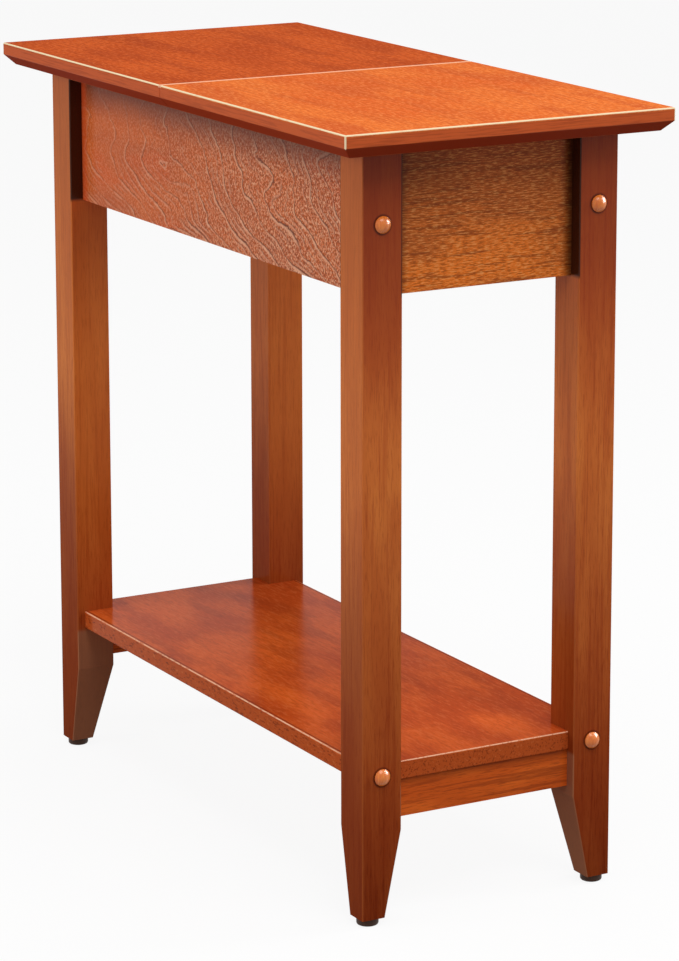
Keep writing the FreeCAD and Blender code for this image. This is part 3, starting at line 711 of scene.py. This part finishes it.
def side_rings(colour, place, pore, near_end, low, high):
    """Draws the fine and the broad growth rings over the ground of a long apron, each as a painted
    highlight with a painted shadow beside it.
    """
    x, _, z = coordinates(place)
    crown_height = high.z - crown_drop
    ring = ring_value(place, crown_height)
    slope = ring_slope(place, ring, crown_height)
    patchy = streaks(place, along_x, 0.034, 0.020)
    line_width = fade(patchy, 0.40, 0.62, least_line_width, most_line_width)
    ring_highlight, ring_shadow = ring_lines(ring, ring_spacing, slope, line_width)
    fine_highlight, fine_shadow = ring_lines(ring, ring_spacing / 3, slope, fine_line_width)
    low_part = fade(z, low.z + fine_ring_start, low.z + fine_ring_full)
    fine = fade(patchy, 0.40, 0.62, 0.05, 0.55)
    fine = times(fine, maths("MAXIMUM", low_part, near_end))
    fine = times(fine, fade(x, -0.20, 0.0, 0.45, 1.0))
    # painted shadow and highlight of the fine ring lines
    colour = tint(colour, seen(140, 62, 38), fine_shadow, fine)
    colour = tint(colour, seen(244, 178, 142), fine_highlight, fine)
    broad = fade(patchy, 0.34, 0.64, 0.35, 0.90)
    broad = times(broad, fade(x, -0.20, 0.06, 0.32, 1.0))
    # painted shadow and highlight of the broad ring lines
    colour = tint(colour, seen(116, 48, 28), ring_shadow, broad)
    grained = times(broad, fade(pore, 0.36, 0.58, 0.45, 1.0))
    return tint(colour, seen(250, 188, 150), ring_highlight, grained)


def side_apron_veneer():
    """Figured veneer for the long aprons."""
    finish, shader, place = new_finish("side_apron_veneer")
    x, y, z = coordinates(place)
    low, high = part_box("side_apron_left")
    near_end = fade(x, -0.20, 0.16, 0.25, 1.0)
    colour, pore = side_ground(place, near_end)
    colour = side_rings(colour, place, pore, near_end, low, high)
    # painted shade of the overhang on the upper part
    colour = stain(colour, seen(108, 62, 50), 0.82, z, high.z - shade_start, high.z - shade_full)
    colour = stain(colour, seen(222, 74, 26), 0.60, x, low.x + strip_start, low.x + strip_full)
    inner = min(abs(low.y), abs(high.y))
    plain = plain_part(maths("ABSOLUTE", y), inner, z, high.z)
    colour = lay_over(plain, colour, apron_back(place, along_x))
    coat = fade(plain, 0.0, 1.0, 0.28, back_coat)
    lacquer(shader, colour, coat, 0.24, pore, depth=0.00010)
    return finish


side_finish = side_apron_veneer()
dress(side_finish, "side_apron_left", "side_apron_right")
print("long apron finish:", side_finish.name)

# %% [markdown]
# ## The aprons: the ends
# The end aprons have plain veneer with short level pores. Shade is painted on them: they are
# brighter towards the lower edge and darker under the overhang. As they sit deep between two legs,
# painted shade gathers at both sides, and a little more on one of them. Painting it helps the
# studio's soft light, which alone leaves the corners too bright.

# %% End apron veneer
corner_reach = 0.012
dim_rise = 0.04


def end_apron_veneer():
    """Plain veneer with short level pores and painted shade for the end aprons."""
    finish, shader, place = new_finish("end_apron_veneer")
    x, y, z = coordinates(place)
    low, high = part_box("end_apron_front")
    cloud = streaks(place, along_y, 0.07, 0.030, detail=3.0)
    level = streaks(place, along_y, 0.060, 0.0026, twist=0.4)
    pore = streaks(place, along_y, 0.0064, 0.0010, rough=0.65)
    # painted shade by height: bright at the lower edge, darker under the overhang
    colour = lay_over(fade(z, low.z, high.z), seen(250, 130, 44), seen(192, 98, 48))
    colour = stain(colour, seen(164, 80, 38), 0.50, cloud, 0.42, 0.64)
    colour = stain(colour, seen(136, 60, 26), 0.60, level, 0.52, 0.66)
    colour = stain(colour, seen(130, 56, 24), 0.55, pore, 0.50, 0.38)
    colour = stain(colour, seen(255, 180, 104), 0.55, pore, 0.52, 0.62)
    # painted shade on one side, growing towards the upper edge
    painted_side_shade = fade(y, 0.0, low.y, 0.0, 0.40)
    colour = tint(colour, seen(84, 42, 22), painted_side_shade, fade(z, low.z + dim_rise, high.z))
    # painted shade in the corners at both sides
    across = maths("ABSOLUTE", y)
    colour = stain(colour, seen(46, 20, 12), 0.85, across, high.y - corner_reach, high.y)
    plain = plain_part(maths("ABSOLUTE", x), low.x, z, high.z)
    colour = lay_over(plain, colour, apron_back(place, along_y))
    coat = fade(plain, 0.0, 1.0, 0.20, back_coat)
    lacquer(shader, colour, coat, 0.24, pore, depth=0.00010)
    return finish


end_finish = end_apron_veneer()
dress(end_finish, "end_apron_front", "end_apron_back")
print("end apron finish:", end_finish.name)

# %% [markdown]
# ## The shelf
# The shelf is a redder, glossier board that mirrors the legs softly at its far end. Its edge is
# lipped with a strip of open grained wood, speckled by dark pores. A dark glue line shows between
# the face and the lipping, and a painted highlight lies along the upper edge.

# %% Shelf veneer
shelf_highlight_width = 0.0009
lip_start = 0.0012
lip_full = 0.0020
glue_inner_start = 0.0034
glue_inner_full = 0.0026
glue_outer_start = 0.0012
glue_outer_full = 0.0018


def shelf_face(place):
    """The red brown face of the shelf, and its flecks for the relief."""
    cloud = streaks(place, along_x, 0.12, 0.06, detail=3.0)
    mottle = streaks(place, along_x, 0.090, 0.026, detail=3.0, rough=0.55)
    fibre = streaks(place, along_x, 0.050, 0.0012, rough=0.6)
    fleck = streaks(place, along_x, 0.0100, 0.0022, rough=0.65)
    colour = lay_over(fade(cloud, 0.38, 0.62), seen(196, 78, 28), seen(222, 98, 37))
    colour = stain(colour, seen(166, 64, 26), 0.42, mottle, 0.48, 0.66)
    colour = stain(colour, seen(160, 60, 24), 0.18, fibre, 0.50, 0.66)
    colour = stain(colour, seen(150, 58, 24), 0.26, fleck, 0.52, 0.66)
    colour = stain(colour, seen(246, 146, 84), 0.14, fleck, 0.48, 0.36)
    return colour, fleck


def shelf_veneer():
    """Red brown veneer with a speckled lipping, a glue line and a painted highlight on its edges."""
    finish, shader, place = new_finish("shelf_veneer")
    x, y, z = coordinates(place)
    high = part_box("shelf")[1]
    colour, fleck = shelf_face(place)
    speck = streaks(place, along_x, 0.0050, 0.0016, rough=0.65)
    lip = stain(seen(194, 86, 36), seen(116, 46, 20), 0.70, speck, 0.46, 0.32)
    lip = stain(lip, seen(232, 150, 90), 0.30, speck, 0.60, 0.74)
    on_lip = fade(z, high.z - lip_start, high.z - lip_full)
    colour = lay_over(on_lip, colour, lip)
    across = maths("ABSOLUTE", y)
    glue_inner = fade(across, high.y - glue_inner_start, high.y - glue_inner_full)
    glue_outer = fade(across, high.y - glue_outer_start, high.y - glue_outer_full)
    glue_line = times(glue_inner, glue_outer)
    colour = tint(colour, seen(112, 42, 18), glue_line, 0.65)
    # painted highlight along the upper edges of the shelf
    near_side = edge_closeness(across, high.y, shelf_highlight_width)
    near_end = edge_closeness(maths("ABSOLUTE", x), high.x, shelf_highlight_width)
    near_top = edge_closeness(z, high.z, shelf_highlight_width)
    rim = times(maths("MAXIMUM", near_side, near_end), near_top)
    colour = tint(colour, seen(255, 204, 166), rim, fade(speck, 0.36, 0.50, 0.35, 0.9))
    coat = fade(x, -0.22, 0.16, 0.26, 0.07)
    lacquer(shader, colour, coat, 0.20, fleck, depth=0.00003)
    return finish


shelf_finish = shelf_veneer()
dress(shelf_finish, "shelf")
print("shelf finish:", shelf_finish.name)

# %% [markdown]
# ## The shelf's rails
# The rails under the ends of the shelf are plain stained wood with level grain. The shelf overhangs
# them a little, so painted shade darkens their upper edge.

# %% Rail wood
rail_shade = 0.0090


def rail_wood():
    """Plain stained wood with level grain and painted shade along the upper edge."""
    finish, shader, place = new_finish("rail_wood")
    z = coordinates(place)[2]
    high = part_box("shelf_rail_front")[1]
    cloud = streaks(place, along_y, 0.06, 0.015)
    vein = streaks(place, along_y, 0.05, 0.0025, twist=0.2)
    fibre = streaks(place, along_y, 0.012, 0.0008, rough=0.6)
    colour = lay_over(fade(cloud, 0.38, 0.66), seen(216, 94, 32), seen(232, 108, 38))
    colour = stain(colour, seen(160, 66, 24), 0.60, vein, 0.50, 0.66)
    colour = stain(colour, seen(146, 58, 22), 0.50, fibre, 0.50, 0.66)
    # painted shade of the shelf's overhang along the upper edge
    colour = stain(colour, seen(112, 46, 18), 0.62, z, high.z - rail_shade, high.z)
    lacquer(shader, colour, 0.10, 0.22, fibre, depth=0.00005)
    return finish


rail_finish = rail_wood()
dress(rail_finish, "shelf_rail_front", "shelf_rail_back")
print("rail finish:", rail_finish.name)

# %% [markdown]
# ## Inside the box
# The compartment's bottom is thin plywood and its divider a plain board, both with one thin coat of
# stain, so they stay duller and paler than the outside. Dowels are bare beech. One helper serves
# all three, because only the grain's direction and the tones differ.

# %% Inner woods
def plain_board(name, turn, light, dark, coat):
    """A simple board with streaks along one direction and fine pores."""
    finish, shader, place = new_finish(name)
    cloud = streaks(place, turn, 0.20, 0.030)
    vein = streaks(place, turn, 0.12, 0.0030, twist=0.3)
    fibre = streaks(place, turn, 0.012, 0.0007, rough=0.6)
    colour = lay_over(fade(cloud, 0.36, 0.66), light, dark)
    colour = stain(colour, dark, 0.5, vein, 0.54, 0.72, "MULTIPLY")
    colour = stain(colour, dark, 0.4, fibre, 0.56, 0.76, "MULTIPLY")
    lacquer(shader, colour, coat, 0.35, fibre, depth=0.00008)
    return finish


bottom_tones = seen(196, 126, 80), seen(176, 104, 62)
divider_tones = seen(190, 110, 66), seen(168, 90, 50)
beech_tones = seen(224, 190, 146), seen(206, 168, 122)
bottom_finish = plain_board("compartment_plywood", along_y, *bottom_tones, coat=0.05)
divider_finish = plain_board("compartment_board", along_y, *divider_tones, coat=0.05)
beech = plain_board("dowel_beech", along_x, *beech_tones, coat=0.0)
dress(bottom_finish, "compartment_bottom")
dress(divider_finish, "compartment_divider")
dress(beech, "side_apron_dowels", "end_apron_dowels", "rail_dowels")
print("inner finishes:", bottom_finish.name, divider_finish.name, beech.name)

# %% [markdown]
# ## Metal
# The hinges are turned brass and the fasteners are zinc plated steel. Metal shows its making in its
# roughness: fine marks from the lathe on brass, cloudy crystals in the zinc. Both are made from
# noise and sent to the roughness, and the lathe's marks also to a faint relief.

# %% Brass and zinc
def turned_brass():
    """Brass with fine tool marks and a little tarnish."""
    finish, shader, place = new_finish("turned_brass")
    marks = streaks(place, along_y, 0.010, 0.00025)
    tarnish = streaks(place, along_x, 0.006, 0.006, detail=3.0, rough=0.6)
    clouded = fade(tarnish, 0.40, 0.70)
    colour = lay_over(clouded, seen(226, 188, 110), seen(186, 142, 72))
    fill(shader.inputs["Base Color"], colour)
    shader.inputs["Metallic"].default_value = 1.0
    fill(shader.inputs["Roughness"], fade(marks, 0.3, 0.7, 0.22, 0.42))
    relief(shader, marks, 0.00002, strength=0.5)
    return finish


def zinc_plate():
    """Steel with a cloudy zinc plating."""
    finish, shader, place = new_finish("zinc_plate")
    crystal = streaks(place, along_x, 0.003, 0.003, detail=3.0, rough=0.6)
    clouded = fade(crystal, 0.35, 0.70)
    colour = lay_over(clouded, seen(208, 210, 212), seen(176, 178, 184))
    fill(shader.inputs["Base Color"], colour)
    shader.inputs["Metallic"].default_value = 1.0
    fill(shader.inputs["Roughness"], fade(crystal, 0.3, 0.7, 0.28, 0.46))
    return finish


brass = turned_brass()
zinc = zinc_plate()
dress(
    brass, "hinge_barrels_fixed", "hinge_barrels_lid",
    "hinge_leaf_inner", "hinge_leaf_middle", "hinge_leaf_outer",
)
dress(
    zinc, "apron_bolts", "apron_barrel_nuts", "shelf_bolts", "shelf_barrel_nuts", "rail_screws",
    "top_brackets", "bracket_apron_screws", "bracket_top_screws",
)
print("metals:", brass.name, zinc.name)

# %% [markdown]
# ## The wooden buttons: rim and dome
# A turned button hides each bolt head. It is a low dome on a narrow rim, with a stem that plugs the
# bolt hole. Turned pieces can be made by spinning a profile or by growing rings: here a cylinder
# for the rim is extruded ring by ring along a circle's arc, which spaces the rings evenly. One
# button is the pattern for all eight.

# %% Model a button's rim and dome
disc_sides = 48
dome_rings = 10
button_rim = 0.0010
button_radius = button_row("apron_bolt_plugs")[1]
button_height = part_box("apron_bolt_plugs")[1].x - leg_high.x
dome_rise = button_height - button_rim
dome_radius = (button_radius ** 2 + dome_rise ** 2) / (2 * dome_rise)
dome_angle = math.asin(button_radius / dome_radius)


def pick_faces(piece, wanted):
    """Selects the faces of the piece in edit mode that pass a test."""
    mesh = bmesh.from_edit_mesh(piece.data)
    for face in mesh.faces:
        face.select_set(wanted(face))
    mesh.select_flush_mode()
    bmesh.update_edit_mesh(piece.data)


def start_disc(name, radius, height):
    """Adds a disc that stands on the floor's centre and opens it, with faces to select."""
    bpy.ops.mesh.primitive_cylinder_add(
        vertices=disc_sides, radius=radius, depth=height, location=(0, 0, height / 2)
    )
    piece = bpy.context.object
    piece.name = name
    bpy.ops.object.transform_apply(location=True, rotation=True, scale=True)
    bpy.ops.object.mode_set(mode="EDIT")
    bpy.ops.mesh.select_mode(type="FACE")
    return piece


def extrude_up(rise):
    """Extrudes the selected faces straight up, or down by a negative rise."""
    bpy.ops.mesh.extrude_region_move(TRANSFORM_OT_translate={"value": (0, 0, rise)})


button = start_disc("button_pattern", button_radius, button_rim)
pick_faces(button, lambda face: face.normal.z > 0.9)
ring_radius = button_radius
ring_height = button_rim
for ring in range(1, dome_rings):
    angle = dome_angle * (1 - ring / dome_rings)
    next_radius = dome_radius * math.sin(angle)
    next_height = button_height - dome_radius * (1 - math.cos(angle))
    extrude_up(next_height - ring_height)
    bpy.ops.transform.resize(value=(next_radius / ring_radius, next_radius / ring_radius, 1))
    ring_radius = next_radius
    ring_height = next_height
print("button:", round(button_radius * 2000, 2), "mm across,", dome_rings, "rings to the crown")

# %% [markdown]
# ## The wooden buttons: stem and rounding
# The stem grows from the underside: the lower face is inset to the stem's radius and extruded down.
# A small bevel then takes the sharpness off the rim, as sanding does. Smooth shading by angle rounds
# the dome and keeps the rim's edge crisp.

# %% Model a button's stem and rounding
stem_radius = 0.0049
stem_length = 0.006
rim_rounding = 0.00025
smooth_angle = math.radians(35)


def close_piece():
    """Turns all faces outwards and leaves edit mode."""
    bpy.ops.mesh.select_all(action="SELECT")
    bpy.ops.mesh.normals_make_consistent(inside=False)
    bpy.ops.object.mode_set(mode="OBJECT")


pick_faces(button, lambda face: face.normal.z < -0.9)
bpy.ops.mesh.inset(thickness=button_radius - stem_radius)
extrude_up(-stem_length)
close_piece()
softening = button.modifiers.new("soft_rim", "BEVEL")
softening.width = rim_rounding
softening.segments = 2
softening.angle_limit = math.radians(40)
bpy.ops.object.modifier_apply(modifier=softening.name)
bpy.ops.object.shade_smooth_by_angle(angle=smooth_angle)
print("button with stem:", len(button.data.polygons), "faces")

# %% [markdown]
# ## The wooden buttons: finish and places
# The buttons are of a paler wood, so they look golden beside the legs, and their thick lacquer
# catches the light. Their places come from the frame: the boxes of the two rows of plugs give the
# height and the distance from the middle. Each copy is turned to face outwards.

# %% Finish and place the buttons
def button_wood():
    """Golden wood with fine straight grain."""
    finish, shader, place = new_finish("button_wood")
    vein = streaks(place, along_z, 0.012, 0.0012, twist=0.3)
    fibre = streaks(place, along_z, 0.004, 0.0003, rough=0.6)
    colour = lay_over(fade(vein, 0.36, 0.66), seen(252, 142, 56), seen(236, 120, 42))
    colour = stain(colour, seen(196, 98, 42), 0.30, fibre, 0.55, 0.75)
    lacquer(shader, colour, 1.0, 0.24, fibre, depth=0.00001)
    return finish


def place_copy(pattern, name, location, turn, node):
    """Copies a pattern piece to its place, with its own mesh, and ties it to the frame."""
    bpy.ops.object.select_all(action="DESELECT")
    pattern.select_set(True)
    bpy.context.view_layer.objects.active = pattern
    bpy.ops.object.duplicate(linked=False)
    copy = bpy.context.object
    copy.name = name
    copy.location = location
    copy.rotation_euler = turn
    bpy.ops.object.transform_apply(location=True, rotation=True, scale=True)
    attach(copy, "frame")
    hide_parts(node)
    return copy


button.data.materials.append(button_wood())
buttons = []
for row, node in (("apron", "apron_bolt_plugs"), ("shelf", "shelf_bolt_plugs")):
    height, _, reach = button_row(node)
    for end, along in (("front", 1), ("back", -1)):
        for side, across in (("left", -1), ("right", 1)):
            name = "button_" + row + "_" + end + "_" + side
            spot = (along * leg_high.x, across * reach, height)
            turn = (0, along * math.radians(90), 0)
            buttons.append(place_copy(button, name, spot, turn, node))
bpy.data.objects.remove(button)
print("buttons placed:", len(buttons))

# %% [markdown]
# ## The glides
# Under each leg sits a round moulded glide with a nail in its middle. It starts as a disc: the
# lower edge gets a wide rounding so that it slides over a carpet, the underside is inset to a
# shallow dish, and the nail is extruded from the upper face into the leg and drawn to a point.

# %% Model one glide
glide_low, glide_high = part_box("glide_front_left")
glide_radius = (glide_high.x - glide_low.x) / 2
glide_height = leg_low.z - glide_low.z
nail_radius = 0.0011
nail_length = glide_high.z - leg_low.z
nail_point = 0.003
nail_tip_share = 0.1
glide_rounding = 0.0018
dish_depth = 0.0004
dish_margin = 0.0030

glide = start_disc("glide_pattern", glide_radius, glide_height)
pick_faces(glide, lambda face: face.normal.z < -0.9)
bpy.ops.mesh.bevel(offset=glide_rounding, segments=5, affect="EDGES")
pick_faces(glide, lambda face: face.normal.z < -0.99)
bpy.ops.mesh.inset(thickness=dish_margin)
extrude_up(dish_depth)
pick_faces(glide, lambda face: face.normal.z > 0.99 and face.calc_center_median().z > glide_height / 2)
bpy.ops.mesh.inset(thickness=glide_radius - nail_radius)
extrude_up(nail_length - nail_point)
extrude_up(nail_point)
bpy.ops.transform.resize(value=(nail_tip_share, nail_tip_share, 1))
close_piece()
bpy.ops.object.shade_smooth_by_angle(angle=smooth_angle)
print("glide:", round(glide_radius * 2000, 1), "mm across,", len(glide.data.polygons), "faces")

# %% [markdown]
# ## The glides' finish and places
# Moulded plastic is never quite smooth: it has a fine spark texture from the mould and small scuffs
# where it slides, so one noise drives a fine relief and another the scuffed colour and roughness.

# %% Finish and place the glides
def glide_plastic():
    """Dark brown moulded plastic with a spark texture."""
    finish, shader, place = new_finish("glide_plastic")
    spark = streaks(place, along_x, 0.0006, 0.0006, rough=0.6)
    scuff = streaks(place, along_x, 0.006, 0.0012, detail=3.0, rough=0.6)
    colour = stain(seen(64, 40, 28), seen(92, 66, 50), 0.6, scuff, 0.52, 0.72)
    fill(shader.inputs["Base Color"], colour)
    fill(shader.inputs["Roughness"], fade(scuff, 0.4, 0.7, 0.45, 0.65))
    shader.inputs["Specular IOR Level"].default_value = 0.2
    relief(shader, spark, 0.00005, strength=0.6)
    return finish


glide.data.materials.append(glide_plastic())
glides = []
for end in ("front", "back"):
    for side in ("left", "right"):
        node = "glide_" + end + "_" + side
        low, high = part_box(node)
        spot = ((low.x + high.x) / 2, (low.y + high.y) / 2, low.z)
        glides.append(place_copy(glide, "moulded_" + node, spot, (0, 0, 0), node))
bpy.data.objects.remove(glide)
print("glides placed:", len(glides))

# %% [markdown]
# ## The studio
# The floor is one large pale sheet. Seen by the camera and in reflections it is white, but the
# light that it throws back up is weaker, as from a grey carpet, so that the undersides and feet
# stay dark. The world does the same above the horizon: white to look at, softer as light.

# %% Floor and world
floor_size = 60.0
floor_white_share = 0.90
world_light = 0.42
world_seen_extra = 0.58

bpy.ops.mesh.primitive_plane_add(size=floor_size, location=(0, 0, 0))
floor = bpy.context.object
floor.name = "studio_floor"
bpy.ops.object.mode_set(mode="EDIT")
bpy.ops.mesh.subdivide(number_cuts=3)
bpy.ops.object.mode_set(mode="OBJECT")


def seen_ray(tree):
    """One for rays that show the surface directly, in a mirror or through glass."""
    path = add_node(tree, "LightPath").outputs
    direct = maths("MAXIMUM", path["Is Camera Ray"], path["Is Glossy Ray"])
    return maths("MAXIMUM", direct, path["Is Transmission Ray"])


def floor_sheet():
    """White to the eye, with the table's shadow, and a dull grey as a source of light."""
    finish = bpy.data.materials.new("floor_sheet")
    finish.use_nodes = True
    tree = finish.node_tree
    tree.nodes.clear()
    lit = add_node(tree, "BsdfDiffuse", {"Color": (0.95, 0.95, 0.95, 1)}).outputs[0]
    white = add_node(tree, "Emission", {"Color": (1, 1, 1, 1), "Strength": 1.0}).outputs[0]
    pale = add_node(tree, "MixShader", {0: floor_white_share, 1: lit, 2: white}).outputs[0]
    dull = add_node(tree, "BsdfDiffuse", {"Color": (0.30, 0.28, 0.27, 1)}).outputs[0]
    mixed = add_node(tree, "MixShader", {0: seen_ray(tree), 1: dull, 2: pale}).outputs[0]
    add_node(tree, "OutputMaterial", {"Surface": mixed})
    return finish


floor.data.materials.append(floor_sheet())

world = bpy.data.worlds.new("studio_world")
bpy.context.scene.world = world
world.use_nodes = True
sky = world.node_tree
sky.nodes.clear()
level = maths("ADD", times(seen_ray(sky), world_seen_extra), world_light)
glow = add_node(sky, "Background", {"Color": (1, 1, 1, 1), "Strength": level}).outputs[0]
add_node(sky, "OutputWorld", {"Surface": glow})
print("floor and world ready")

# %% [markdown]
# ## The lamps
# Three large soft boxes light the table: a strong one high in front for the bright top, one low on
# the near long side, so that the overhang shades only a strip of the apron, and a weaker one on the
# far side. A fourth box gives highlights only: its diffuse light is switched off, so it shows in the
# buttons and the lacquer and does not brighten the wood.

# %% Lamps
def soft_box(name, place, target, size, power):
    """A square soft box that faces a point, so many metres wide and so many watts strong."""
    bpy.ops.object.light_add(type="AREA", location=place)
    lamp = bpy.context.object
    lamp.name = name
    lamp.data.size = size
    lamp.data.energy = power
    towards = Vector(target) - Vector(place)
    lamp.rotation_euler = towards.to_track_quat("-Z", "Y").to_euler()
    return lamp


table_middle = (0, 0, cad_high.z / 2)
table_top = (0, 0, cad_high.z)
soft_box("front_box", place=(1.6, -0.2, 3.0), target=table_top, size=1.8, power=44)
soft_box("side_box", place=(-0.3, -2.6, 1.0), target=table_middle, size=1.6, power=22)
soft_box("right_box", place=(0.6, 2.2, 1.3), target=table_middle, size=0.9, power=18)
glint_box = soft_box("glint_box", place=(0.7, 1.7, 1.05), target=table_middle, size=1.1, power=64)
glint_box.visible_diffuse = False
print("lamps ready")
